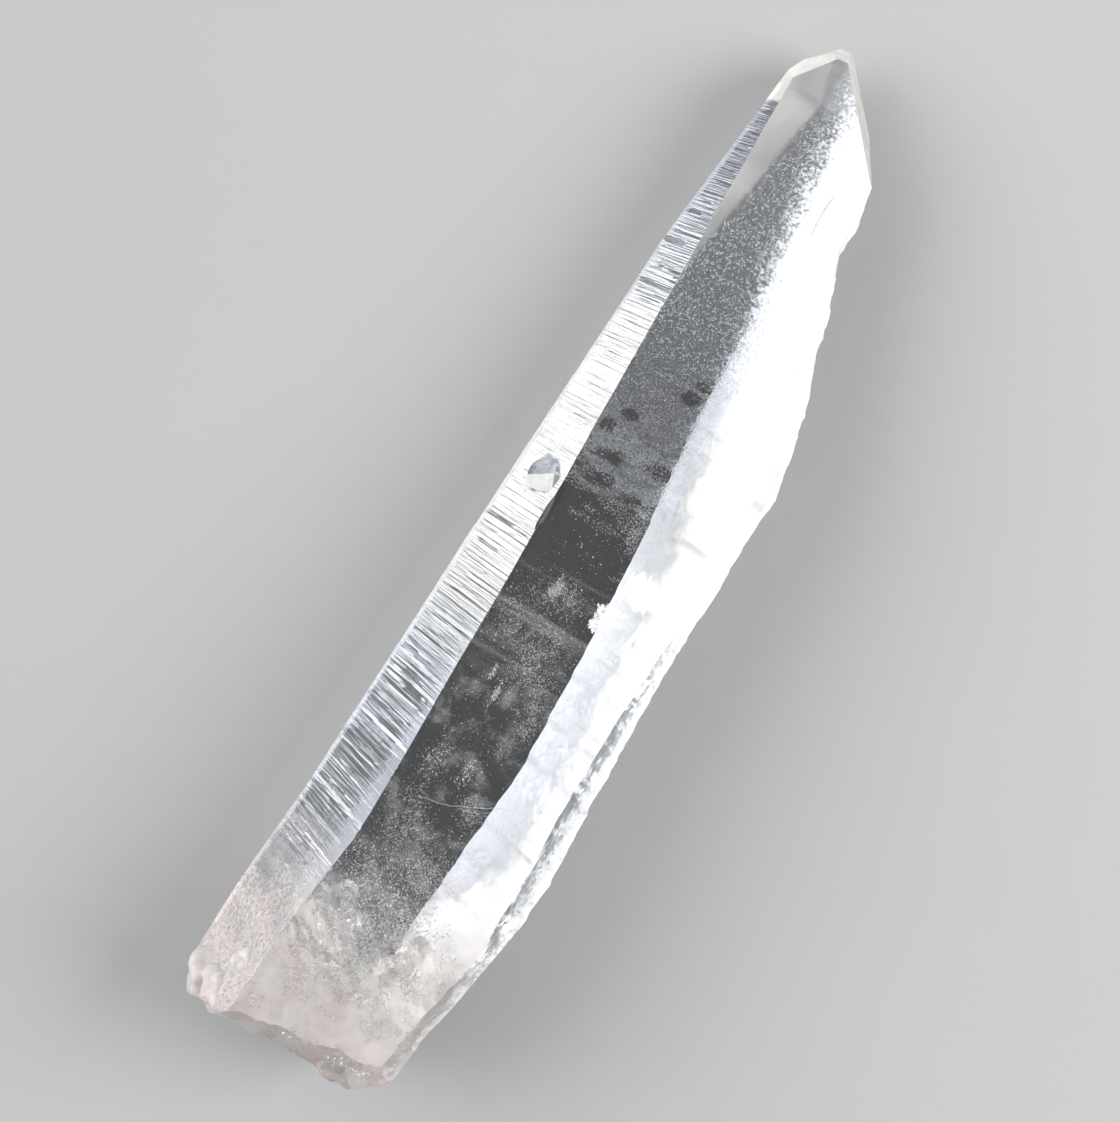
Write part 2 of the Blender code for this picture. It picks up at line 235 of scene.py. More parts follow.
# The fog of the milky base
FOG_COUNT = 49500
FOG_GRAINS = (0.035, 0.09)  # the smallest and the largest
FOG_FULL, FOG_END = 10.0, 26.0  # x where it starts to thin out and where it ends
FOG_BOX = ((1.0, FOG_END), (-14.0, 15.0), (3.0, 22.5))
FOG_CLUMP = 3.6
FOG_LEAST = 0.08  # share of the grains that stay between the clouds
FOG_WANDER = 5.0  # how far the end of the fog wanders
FOG_SLANT, FOG_SLANT_FROM = 0.6, -3.0  # how much earlier it ends per mm on the right of this y

# Hairlines of dust: how far apart its grains lie, how far off the line, their size, and
# the points it runs through
HAIRLINES = (
    (0.016, 0.015, 0.022, (
        (32.9, 1.6, 14.0), (33.1, -0.6, 13.0), (33.6, -2.6, 12.0), (34.6, -4.9, 11.0),
        (35.7, -7.2, 10.0),
    )),
    (0.03, 0.03, 0.018, ((33.5, -2.8, 12.5), (34.2, -5.2, 12.0), (35.3, -7.1, 11.0))),
    (0.04, 0.05, 0.018, ((33.2, -3.6, 12.5), (33.9, -5.4, 12.0), (34.8, -7.0, 11.0))),
    (0.05, 0.06, 0.018, ((32.9, -4.2, 12.5), (33.3, -5.6, 12.0), (33.9, -7.0, 11.0))),
    (0.04, 0.03, 0.018, ((32.4, 3.4, 14.0), (33.2, 2.4, 14.0), (33.6, 1.4, 14.0))),
    (0.04, 0.02, 0.018, ((40.6, -3.5, 12.0), (41.4, -3.7, 12.0), (42.0, -3.6, 12.0))),
    (0.05, 0.02, 0.016, ((41.2, -2.4, 12.0), (41.3, -3.1, 12.0), (41.6, -3.7, 12.0))),
    (0.02, 0.05, 0.03, ((14.6, -0.9, 16.0), (16.2, 1.9, 16.0), (18.6, 4.3, 16.0), (21.4, 5.4, 16.0))),
    (0.03, 0.06, 0.026, ((15.4, -1.4, 16.0), (17.2, 1.4, 16.0), (19.4, 3.4, 16.0), (21.8, 4.4, 16.0))),
    (0.03, 0.08, 0.026, ((16.6, -2.2, 15.0), (18.0, 0.4, 15.0), (20.2, 2.2, 15.0))),
    (0.02, 0.03, 0.03, (
        (8.4, 0.8, 17.0), (9.6, 1.3, 17.0), (11.8, 1.0, 17.0), (13.4, 2.2, 17.0), (14.4, 3.6, 17.0)
    )),
    (0.03, 0.04, 0.028, ((16.2, 5.2, 17.0), (17.6, 4.4, 17.0), (18.2, 5.6, 17.0))),
    (0.03, 0.05, 0.028, ((9.0, -3.0, 16.0), (11.2, -4.4, 16.0), (13.4, -4.6, 16.0))),
    (0.03, 0.05, 0.028, (
        (12.2, -9.4, 15.0), (13.6, -8.0, 15.0), (15.6, -8.2, 15.0), (16.8, -9.8, 15.0),
    )),
)

# Cracks: centre, azimuth and elevation of the normal, the two radii, how far the middle
# bulges, and the unevenness of the sheet
CRACKS = (
    ((17.5, 3.2, 13.0), -42, 38, 3.4, 4.6, 0.9, 0.5),
    ((14.2, 1.2, 12.0), -60, 34, 2.6, 3.8, 0.8, 0.5),
    ((12.2, 3.6, 16.5), -24, 52, 2.4, 3.4, 0.7, 0.4),
    ((16.0, -6.0, 12.0), 75, 40, 3.6, 3.0, 0.8, 0.5),
    ((9.8, -5.6, 12.0), 130, 48, 2.6, 3.4, 0.7, 0.5),
    ((14.5, 8.8, 15.2), 40, 62, 2.9, 1.5, 0.4, 0.3),
    ((10.8, 7.2, 18.5), -12, 66, 2.0, 2.4, 0.4, 0.3),
)
CRACK_GAP = 0.03
CRACK_RAGGEDNESS = 0.3  # of the rim, as a share of the radii
CRACK_WAVE = 0.12  # height of the sheet's waves, as a share of its unevenness
CRACK_RINGS = 10
CRACK_SPOKES = 28

# ---- the camera ---------------------------------------------------------------------
IMAGE_WIDTH_PX = 1120
SENSOR_WIDTH = 36.0
CAMERA_AT = (72.0, 0.7, 286.0)  # the crystal's own mm
CAMERA_TARGET = (62.8, 0.7, 11.0)
PX_PER_MM = 9.06  # at the target
AXIS_ANGLE = math.radians(60.5)  # of the crystal's axis above the picture's horizontal


def in_frame(point):
    """A point of the crystal's own frame, in the row frame's metres."""
    x, y, z = point
    return Vector(((x - CENTRE[0]) * MM, (y - CENTRE[1]) * MM, z * MM))


def clamp(share):
    return min(1.0, max(0.0, share))


# ---- the crystal --------------------------------------------------------------------
def along(stations, x):
    """The value at x on the broken line through stations."""
    if x <= stations[0][0]:
        return stations[0][1]
    for (x0, v0), (x1, v1) in zip(stations, stations[1:]):
        if x <= x1:
            return v0 + (v1 - v0) * (x - x0) / (x1 - x0)
    return stations[-1][1]


def growth_lines(name):
    """The x of each riser on a face, from the base to the tip."""
    first, last, shortest, longest, _ = GROWTH[name]
    draw = random.Random(name)
    risers, x = [], first
    while x < last:
        risers.append(x)
        x += shortest * (longest / shortest) ** draw.random()
    return risers


RISERS = {name: growth_lines(name) for name in GROWTH}


def tread_offset(name, x):
    """How far a face stands out at x: treads climb towards the tip and drop at risers."""
    if name not in GROWTH:
        return 0.0
    rise = GROWTH[name][-1]
    riser = RISER[name]
    for start, end in zip(RISERS[name], RISERS[name][1:]):
        if start <= x <= end - riser:
            return rise * (x - start)
        if start <= x < end:
            return rise * (end - riser - start) * (end - x) / riser
    return 0.0


def meet(first, second, x):
    """The corner between two faces, as y and z."""
    lines = []
    for name in (first, second):
        turn = math.radians(FACES[name][0])
        distance = along(FACES[name][1], x) + tread_offset(name, x)
        lines.append((math.cos(turn), math.sin(turn), distance))
    (a, b, h), (c, d, k) = lines
    det = a * d - b * c
    return Vector(((h * d - b * k) / det, (a * k - h * c) / det))


def corners_at(x):
    """The six corners of the cross-section at x, from the left ridge round by the back."""
    top = along(FACES["front"][1], x)
    right, ridge = along(RIGHT_EDGE, x), along(RIGHT_RIDGE, x)
    step = Vector((tread_offset("right", x), 0.0))
    corners = [
        meet("front", "upper_left", x),
        meet("upper_left", "lower_left", x),
        meet("lower_left", "back", x),
        Vector((along(BACK_RIGHT_EDGE, x), 0.0)) - step,
        Vector((right, top - math.tan(BAND_ANGLE) * (ridge - right))) - step,
        Vector((ridge, top)),
    ]
    for i, (amount, length) in enumerate(EDGE_WANDER):
        drift = noise.noise(Vector((x / length, 7.3 * i, 0.4)))
        drift += 0.4 * noise.noise(Vector((2.7 * x / length, 7.3 * i, 5.1)))
        if i == RIGHT_CORNER:
            drift += SPLINTERS * max(0.0, noise.noise(Vector((1.3 * x, 0.3, 8.1))) - 0.1)
        way = Vector((1.0, 0.0)) if i in FLAT_CORNERS else corners[i].normalized()
        corners[i] += amount * drift * way
    return corners


def ring_stations():
    """The x of each ring of points."""
    stations, x = [], -OVERRUN
    while x < LENGTH + OVERRUN:
        stations.append(x)
        striated = STRIAE_FROM - 1.0 < x < STRIAE_TO + 0.5
        fine = FINEST_PITCH if x > FINEST_FROM else FINE_PITCH
        x += fine if striated else COARSE_PITCH
    return np.array(stations)


def striae_relief(stations, across):
    """Relief of the striated face at stations along x and shares across it, in mm: short
    treads that climb towards the tip and drop back, each over its own stretch of the
    face's width."""
    draw = random.Random("striae")
    relief = np.zeros((len(stations), len(across)))
    x = STRIAE_FROM
    while x < STRIAE_TO:
        length = STRIA_SHORTEST * (STRIA_LONGEST / STRIA_SHORTEST) ** draw.random()
        length = min(length * along(STRIA_FINER, x), STRIAE_TO - x)
        start = draw.uniform(*STRIA_STARTS)
        end = draw.uniform(*STRIA_ENDS)
        slope = draw.gauss(0.0, along(STRIA_SLOPE, x))
        straightened = (x - STRIAE_FROM) / STRIA_UPRIGHT_OVER
        slant = STRIA_SLANT * max(STRIA_LEAST_SLANT, 1.0 - straightened)
        phase = draw.uniform(0.0, 9.0)
        for j, share in enumerate(across):
            inside = clamp((share - start) / STRIA_FADE) * clamp((end - share) / STRIA_FADE)
            lean = slant * (share - 0.5) + STRIA_WAVE * math.sin(phase + 5.0 * share)
            ahead = (stations - x - lean) / length
            tread = np.where((ahead > 0.0) & (ahead < 1.0), ahead - 0.5, 0.0)
            relief[:, j] += slope * length * inside * tread
        x += length
    return relief


def surface_points():
    """Rings of points round the crystal, and the face that each strip belongs to."""
    stations = ring_stations()
    names = list(STRIPS)
    across = [j / STRIPS["upper_left"] for j in range(STRIPS["upper_left"] + 1)]
    striae = striae_relief(stations, across)
    rings = []
    for n, x in enumerate(stations):
        corners = corners_at(x)
        ring = []
        for i, name in enumerate(names):
            start, end = corners[i], corners[(i + 1) % 6]
            way = (end - start).normalized()
            outward = Vector((-way.y, way.x))
            for j in range(STRIPS[name]):
                share = j / STRIPS[name]
                point = start.lerp(end, share)
                if name == "upper_left":
                    point += outward * striae[n, j]
                elif j > 0:
                    point += outward * relief_at(name, x, share, (end - start).length)
                ring.append((x, point.x, point.y))
        rings.append(ring)
    owners = [i for i, name in enumerate(names) for _ in range(STRIPS[name])]
    return rings, owners


def relief_at(name, x, share, width):
    """How far a point of a face stands out of the flat, in mm."""
    at = Vector((x, share * width, 10.0 * len(name)))  # a part of the noise for each face
    fade = min(1.0, 6.0 * min(share, 1.0 - share))
    if name == "band":
        fade = min(1.0, width / BAND_FULL_WIDTH)
    ripples = RIPPLES[name]
    if name == "front":
        height, length, shift = BASE_LUMPS
        ripples += ((height * max(0.0, 1.0 - x / BASE_LUMPS_END), length, shift),)
    return fade * sum(
        height * (noise.noise(at / length) + shift) for height, length, shift in ripples
    )


def prism_body():
    """The prism between its rings of points, longer than the crystal at both ends."""
    rings, owners = surface_points()
    bm = bmesh.new()
    verts = [[bm.verts.new(point) for point in ring] for ring in rings]
    count = len(verts[0])
    for near, far in zip(verts, verts[1:]):
        for i in range(count):
            j = (i + 1) % count
            face = bm.faces.new((near[i], far[i], far[j], near[j]))
            face.material_index = owners[i]
    bm.faces.new(verts[0])
    bm.faces.new(list(reversed(verts[-1])))
    bmesh.ops.recalc_face_normals(bm, faces=bm.faces)
    return bm


def direction(azimuth, elevation):
    """A unit vector; azimuth 0 is +X and 90 is +Y."""
    a, e = math.radians(azimuth), math.radians(elevation)
    return Vector((math.cos(e) * math.cos(a), math.cos(e) * math.sin(a), math.sin(e)))


def cleave(bm, point, normal, finish):
    """Cuts off what lies on the normal's side of a plane, and closes the cut."""
    everything = bm.verts[:] + bm.edges[:] + bm.faces[:]
    bmesh.ops.bisect_plane(
        bm, geom=everything, dist=1e-5, plane_co=point, plane_no=normal, clear_outer=True
    )
    rim = [edge for edge in bm.edges if edge.is_boundary]
    for face in bmesh.ops.holes_fill(bm, edges=rim, sides=0)["faces"]:
        face.material_index = finish
    bmesh.ops.recalc_face_normals(bm, faces=bm.faces)


def place_object(name, data):
    obj = bpy.data.objects.new(name, data)
    bpy.context.scene.collection.objects.link(obj)
    return obj


def add_object(name, bm, finish=None):
    """An object from bm, with all finishes in its slots."""
    if finish is not None:
        for face in bm.faces:
            face.material_index = FINISHES.index(finish)
    bmesh.ops.triangulate(bm, faces=[f for f in bm.faces if len(f.verts) > 4])
    mesh = bpy.data.meshes.new(name)
    bm.to_mesh(mesh)
    bm.free()
    for material in MATERIALS.values():
        mesh.materials.append(material)
    return place_object(name, mesh)


def lump(place, unevenness, detail, seed, bm):
    """Adds a rounded, slightly angular ball to bm."""
    made = bmesh.ops.create_icosphere(bm, subdivisions=detail, radius=1.0)["verts"]
    for vert in made:
        vert.co *= 1.0 + unevenness * noise.noise(1.6 * vert.co + Vector((seed, 0, 0)))
    turn = Matrix.Rotation(0.7 * seed, 4, Vector((0.5, 0.3, 1.0)).normalized())
    size = Matrix.Diagonal((*place[3:], 1.0))
    matrix = Matrix.Translation(place[:3]) @ size @ turn
    bmesh.ops.transform(bm, matrix=matrix, verts=made)


def combine(target, other, operation):
    """Joins other to target or cuts it away, and removes it."""
    modifier = target.modifiers.new(other.name, "BOOLEAN")
    modifier.operation = operation
    modifier.solver = "EXACT"
    modifier.object = other
    graph = bpy.context.evaluated_depsgraph_get()
    made = bpy.data.meshes.new_from_object(target.evaluated_get(graph))
    target.modifiers.clear()
    target.data = made
    bpy.data.objects.remove(other)


def break_depth(y, z):
    """The x of the broken base at (y, z): shell-shaped hollows, and the corners that are
    broken off."""
    at = Vector((0.3, y / HOLLOW_WIDTH, z / HOLLOW_WIDTH))
    nearest = noise.voronoi(at)[0][0]
    hollow = HOLLOW_DEPTH * (1.0 - min(1.0, nearest) ** 2)
    rough = BREAK_ROUGHNESS * noise.noise(Vector((2.0, 0.5 * y, 0.5 * z)))
    depth = BREAK_X + BREAK_LEAN * y + hollow + rough
    for i, (point, azimuth, elevation) in enumerate(BASE):
        normal = direction(azimuth, elevation)
        corner = point[0] - (normal.y * (y - point[1]) + normal.z * (z - point[2])) / normal.x
        swell = noise.noise(Vector((3.1 * i, 0.28 * y, 0.28 * z)))
        depth = max(depth, corner + CORNER_SWELL * swell)
    ripple = noise.noise(Vector((5.0, 1.1 * y, 1.1 * z)))
    ripple += 0.5 * noise.noise(Vector((7.0, 2.6 * y, 2.6 * z)))
    return depth + BREAK_RIPPLE * (ripple + 0.6)


def fracture_block():
    """What is broken off the base, as one closed block."""
    bm = bmesh.new()
    cell = BREAK_SPAN / BREAK_CELLS
    rows = []
    for i in range(BREAK_CELLS + 1):
        y = i * cell - BREAK_SPAN / 2
        heights = [j * cell - BREAK_BELOW * BREAK_SPAN for j in range(BREAK_CELLS + 1)]
        rows.append([bm.verts.new((break_depth(y, z), y, z)) for z in heights])
    for near, far in zip(rows, rows[1:]):
        for j in range(BREAK_CELLS):
            bm.faces.new((near[j], far[j], far[j + 1], near[j + 1]))
    surface = bm.faces[:]
    made = bmesh.ops.extrude_face_region(bm, geom=surface)["geom"]
    for vert in made:
        if isinstance(vert, bmesh.types.BMVert):
            vert.co.x = -2.0 * OVERRUN
    bmesh.ops.recalc_face_normals(bm, faces=bm.faces)
    return add_object("fracture_block", bm, "fracture")


def lumps(name, places, unevenness, detail, seed, finish):
    """Lumps as one object; each has a seed of its own, counted up from seed."""
    bm = bmesh.new()
    for i, place in enumerate(places):
        lump(place, unevenness, detail, i + seed, bm)
    return add_object(name, bm, finish)


def joined_knobs():
    """The overlapping knobs, joined one by one into one closed object."""
    knobs = [
        lumps(f"knob_{i}", (knob,), KNOB_LUMPS, 5, i + KNOB_SEED, "knob")
        for i, knob in enumerate(KNOBS)
    ]
    for knob in knobs[1:]:
        combine(knobs[0], knob, "UNION")
    return knobs[0]


def crack_sheet(bm, crack, seed):
    """Adds a thin curved gap with an uneven rim, closed like a lens."""
    centre, azimuth, elevation, across, along_it, bulge, unevenness = crack
    normal = direction(azimuth, elevation)
    side = normal.cross(Vector((0.0, 0.0, 1.0))).normalized()
    up = side.cross(normal)

    def add_point(share, spoke, lift):
        angle = 2.0 * math.pi * spoke / CRACK_SPOKES
        round_it = Vector((2.0 * math.cos(angle), 2.0 * math.sin(angle), seed))
        reach = share * (1.0 + CRACK_RAGGEDNESS * noise.noise(round_it))
        u = reach * across * math.cos(angle)
        v = reach * along_it * math.sin(angle)
        rise = bulge * (1.0 - share * share) + lift
        rise += unevenness * noise.noise(Vector((0.8 * u, 0.8 * v, seed)))
        rise += CRACK_WAVE * unevenness * math.sin(2.5 * reach * (across + along_it))
        return bm.verts.new(Vector(centre) + u * side + v * up + rise * normal)

    layers = []
    for lift in (CRACK_GAP / 2, -CRACK_GAP / 2):
        rings = [[add_point(0.0, 0, lift)]]
        for i in range(1, CRACK_RINGS):
            rings.append([add_point(i / CRACK_RINGS, j, lift) for j in range(CRACK_SPOKES)])
        layers.append(rings)
    rim = [add_point(1.0, j, 0.0) for j in range(CRACK_SPOKES)]
    for middle, *rings in layers:
        rings.append(rim)
        for j in range(CRACK_SPOKES):
            k = (j + 1) % CRACK_SPOKES
            bm.faces.new((middle[0], rings[0][j], rings[0][k]))
            for near, far in zip(rings, rings[1:]):
                bm.faces.new((near[j], far[j], far[k], near[k]))


def cracks():
    """All the cracks of the base as one object."""
    bm = bmesh.new()
    for i, crack in enumerate(CRACKS):
        crack_sheet(bm, crack, 5.0 * i + 0.7)
    bmesh.ops.recalc_face_normals(bm, faces=bm.faces)
    return add_object("cracks", bm, "crack")


def pit_bowl():
    """The scoop of the pit, with shell-like rings."""
    bm = bmesh.new()
    lump(PIT, CHIP_LUMPS, 5, PIT_SEED, bm)
    middle = Vector(PIT[:3])
    for vert in bm.verts:
        way = vert.co - middle
        turn = way.angle(FACE_INWARD)
        vert.co = middle + way * (1.0 + PIT_RING_DEPTH * math.sin(PIT_RINGS * turn))
    return add_object("pit", bm, "pit")


def pit_crystal():
    bm = bmesh.new()
    bmesh.ops.create_cube(bm, size=2.0)
    tilt = Matrix.Rotation(PIT_CRYSTAL_TILT, 4, "X")
    turn = Matrix.Rotation(PIT_CRYSTAL_TURN, 4, "Z")
    size = Matrix.Diagonal((*PIT_CRYSTAL[3:], 1.0))
    place = Matrix.Translation(PIT_CRYSTAL[:3]) @ tilt @ turn @ size
    bmesh.ops.transform(bm, matrix=place, verts=bm.verts)
    return add_object("pit_crystal", bm, "pale")


def build_crystal():
    bm = prism_body()
    for point, azimuth, elevation in TIP:
        finish = "bevel" if elevation > 0 else "tip"
        cleave(bm, Vector(point), direction(azimuth, elevation), FINISHES.index(finish))
    crystal = add_object("crystal", bm)
    combine(crystal, fracture_block(), "DIFFERENCE")
    combine(crystal, joined_knobs(), "UNION")
    chips = lumps("chips", CHIPS, CHIP_LUMPS, 4, CHIP_SEED, "fracture")
    combine(crystal, chips, "DIFFERENCE")
    combine(crystal, pit_bowl(), "DIFFERENCE")
    # The nick's walls get the cleft finish, which is painted shade: a dark base colour stands in for
    # the dark line that the narrow cleft shows.
    combine(crystal, lumps("nick", (NICK,), CHIP_LUMPS, 4, NICK_SEED, "cleft_painted_shade"), "DIFFERENCE")
    combine(crystal, pit_crystal(), "UNION")
    combine(crystal, cracks(), "DIFFERENCE")
    settle(crystal)
    return crystal


def settle(crystal):
    """Puts the crystal in the row frame, inside the solid's box, smooth but for its edges."""
    bm = bmesh.new()
    bm.from_mesh(crystal.data)
    bmesh.ops.remove_doubles(bm, verts=bm.verts, dist=1e-4)
    bmesh.ops.triangulate(bm, faces=bm.faces)
    for vert in bm.verts:
        place = in_frame(vert.co)
        vert.co = [min(max(c, low), high) for c, low, high in zip(place, *CAD_BOX)]
    bm.to_mesh(crystal.data)
    bm.free()
    crystal.data.shade_smooth()
    crystal.data.set_sharp_from_angle(angle=SHARP_FROM)


# ---- inside the crystal --------------------------------------------------------------
def is_inside(point, margin):
    """Whether a point is inside the prism by at least margin."""
    x, y, z = point
    if not INSIDE_FROM < x < INSIDE_TO:
        return False
    corners = corners_at(x)
    for i, corner in enumerate(corners):
        way = (corners[(i + 1) % 6] - corner).normalized()
        depth = way.y * (y - corner.x) - way.x * (z - corner.y)
        if depth < margin:
            return False
    return True


def veil_share(point):
    """How much of the dust stays at a point: it lies in ragged clumps and a few veils."""
    patch = 0.45 + 1.5 * noise.noise(point / CLUMP_SIZE + Vector((3.0, 8.0, 5.0)))
    clump = 0.40 + 1.8 * noise.noise(3.1 * point / CLUMP_SIZE + Vector((1.0, 2.0, 7.0)))
    fold = abs(noise.noise(point / VEIL_SIZE)) + 0.12 * abs(noise.noise(6.0 * point / VEIL_SIZE))
    sheet = 0.8 * max(0.0, 1.0 - fold / VEIL_THICKNESS)
    return LOOSE_SHARE + clamp(patch) * clamp(max(clump, sheet))


def grain_corners(centre, size, draw):
    """The corners of a tiny flattened tetrahedron, turned at random."""
    axis = Vector((draw.gauss(0, 1), draw.gauss(0, 1), draw.gauss(0, 1))).normalized()
    turn = Matrix.Rotation(draw.uniform(0.0, 2.0 * math.pi), 3, axis)
    shape = ((1, 1, 1), (-1, -1, 1), (-1, 1, -1), (1, -1, -1))
    return [
        in_frame(centre + turn @ Vector((x, y, GRAIN_FLATNESS * z)) * size) for x, y, z in shape
    ]


def dust_object(name, points, faces, finish):
    mesh = bpy.data.meshes.new(name)
    mesh.from_pydata(points, [], faces)
    mesh.materials.append(finish)
    return place_object(name, mesh)


def add_grain(points, faces, place, size, draw):
    if not is_inside(place, INSIDE_MARGIN):
        return
    n = len(points)
    points += grain_corners(place, size, draw)
    faces += [(n, n + 3, n + 1), (n, n + 1, n + 2), (n, n + 2, n + 3), (n + 1, n + 3, n + 2)]


def add_hairline(points, faces, hairline, draw):
    """Grains along a line that wanders a little."""
    spacing, spread, size, stations = hairline
    for start, end in zip(stations, stations[1:]):
        start, end = Vector(start), Vector(end)
        count = round((end - start).length / spacing)
        for i in range(count):
            place = start.lerp(end, i / count)
            place.x += 0.12 * noise.noise(Vector((1.1 * place.y, 0.7 * place.x, 4.0)))
            place += spread * draw.gauss(0.0, 1.0) * Vector((0.8, 0.5, 0.3))
            add_grain(points, faces, place, size * draw.uniform(0.6, 1.3), draw)


def add_fog():
    """The fine grains that make the base milky, in soft drawn-out clouds."""
    draw = random.Random("fog")
    points, faces = [], []
    made = 0
    while made < FOG_COUNT:
        place = Vector([draw.uniform(*span) for span in FOG_BOX])
        slanted = Vector((place.x - place.y, 0.4 * (place.x + place.y), 0.5 * place.z)) / FOG_CLUMP
        cloud = 0.5 + 1.2 * noise.noise(slanted) + 0.6 * noise.noise(2.7 * slanted)
        start = place.x - FOG_WANDER * noise.noise(place / 7.0)
        start += FOG_SLANT * max(0.0, FOG_SLANT_FROM - place.y)
        thin = (FOG_END - start) / (FOG_END - FOG_FULL)
        if draw.random() > max(FOG_LEAST, cloud) * clamp(thin) ** 1.5:
            continue
        made += 1
        size = draw.uniform(*FOG_GRAINS)
        add_grain(points, faces, place, size, draw)
    return dust_object("fog", points, faces, dust_finish("fog", MILK))


def add_inclusions():
    """The dust of the clear part as one piece."""
    draw = random.Random("clouds")
    points, faces = [], []
    for hairline in HAIRLINES:
        add_hairline(points, faces, hairline, draw)
    for centre, radii, count, smallest, largest in CLOUDS:
        made = 0
        while made < count:
            place = Vector(c + draw.gauss(0.0, 0.5) * r for c, r in zip(centre, radii))
            if draw.random() > veil_share(place):
                continue
            made += 1
            size = smallest * (largest / smallest) ** (draw.random() ** GRAIN_RARITY)
            add_grain(points, faces, place, size, draw)
    return dust_object("inclusions", points, faces, dust_finish("dust", DUST_COLOUR))


# ---- materials ----------------------------------------------------------------------
IOR = 1.544
CLEAR_ROUGHNESS = 0.015
ABSORPTION = (0.9, 0.9, 0.9)
ABSORPTION_DENSITY = 4.0
CLEAR_TINT = (0.97, 0.975, 0.98)
BLUISH = (0.86, 0.90, 0.97)
STEEL = (0.78, 0.84, 0.96)
SLATE = (0.50, 0.55, 0.66)
SHADOW = (0.07, 0.07, 0.065)
PALE = (0.62, 0.62, 0.61)
SATIN = (0.45, 0.44, 0.425)
MILK = (0.97, 0.945, 0.925)
CREAM = (0.96, 0.93, 0.885)
BLUSH = (0.97, 0.855, 0.82)
DUST_COLOUR = (0.95, 0.95, 0.95)

# Pairs named FROM and TO say at which x (or y) in mm a thing starts and is full, or is
# still full and ends. Stations are pairs of x and a value, as for the shape.
MILK_FROM = (30.0, 9.0)
MILK_WANDER = 4.0
MILK_VEIL = 0.2

# The front face
PITTED_FROM = (73.0, 76.5)
PITTED_WANDER = 4.5
FROSTED_FROM = (76.0, 106.0)
SATIN_FROM = (96.0, 108.0)
WHITE_FROM = (80.0, 98.0)
SMOOTH_LINE = ((95, 5.6), (106, 3.1), (122, 0.3))  # y where the smooth strip starts
WHITE_LINE = ((70, -6.2), (95, -4.6), (114, -2.0))  # y where the white part starts
CLEAR_SPOTS = (  # in the pitted middle: middle and radii
    ((76.5, -4.0), (0.9, 1.5)),
    ((85.2, -3.2), (0.8, 1.3)),
    ((86.9, -3.8), (0.5, 1.0)),
    ((80.5, 1.9), (0.6, 1.1)),
    ((78.4, 3.4), (0.8, 0.9)),
)
TORN_PATCHES = (((59.6, -6.0), (1.4, 0.7)), ((61.1, -7.0), (0.5, 1.5)))
GROWTH_BARS = ((78.7, 0.35), (93.7, 0.6))  # middle and half-width
ARC_TOP, ARC_BEND = (109.6, -5.55), -0.035
ARC_FROM, ARC_TO = (106.2, 107.5), (114.0, 111.5)
ARC_LINE = (0.22, 0.06)
PRINT_FROM, PRINT_BELOW = (118.0, 120.5), (3.4, 2.2)  # the finely lined print at the tip
HAZE_FROM, HAZE_TO = (44.0, 60.0), (62.5, 61.5)
CLOUDS_TO = (62.0, 46.0)

# The other faces
STRIATED_FROM, STRIATED_TO = (16.0, 21.0), (118.6, 118.0)
LINES_LEAN = ((19, 0.10), (57, 0.02))
LINES_LEVEL = 5.0  # y where a leaning line has its own x
BROAD_SHARE = 0.25  # of the broad lines among the fine ones
CREAM_FROM = (118.0, 118.8)
RIM_LINE = (18.0, 50.0, 6.8, 4.75)  # the clouded rim beside the left ridge
RIM_TO = (62.0, 48.0)
BACK_FROST_FROM, BACK_FROST_TO = (70.0, 73.0), (82.0, 76.0)
FOOT_HEIGHT = ((20, 2.0), (30, 7.5), (52, 7.5), (88, 2.3), (97, 2.3), (105, -2.2))
FOOT_WAVE = 1.5
FOOT_CHIP = ((63.5, 5.2), (2.1, 3.8))  # a clear break in the foot: x and z, and radii
BAND_TOP = FACES["front"][1][3:]
CRUMBLED_BELOW = (1.6, 2.4)  # depth under the front face
CRUMBLED_FROM = (58.0, 66.0)


class Nodes:
    """The shader nodes of a material or a world."""

    def __init__(self, owner):
        owner.use_nodes = True
        self.owner = owner
        self.tree = owner.node_tree
        self.tree.nodes.clear()

    def add(self, kind, inputs=(), **settings):
        """Adds a shader node and returns its outputs by name."""
        node = self.tree.nodes.new(f"ShaderNode{kind}")
        for key, value in settings.items():
            setattr(node, key, value)
        for name, value in dict(inputs).items():
            socket = node.inputs[name]
            if isinstance(value, Value):
                self.tree.links.new(value.socket, socket)
            else:
                socket.default_value = (*value, 1.0) if socket.type == "RGBA" else value
        return {output.name: Value(self, output) for output in node.outputs if output.enabled}


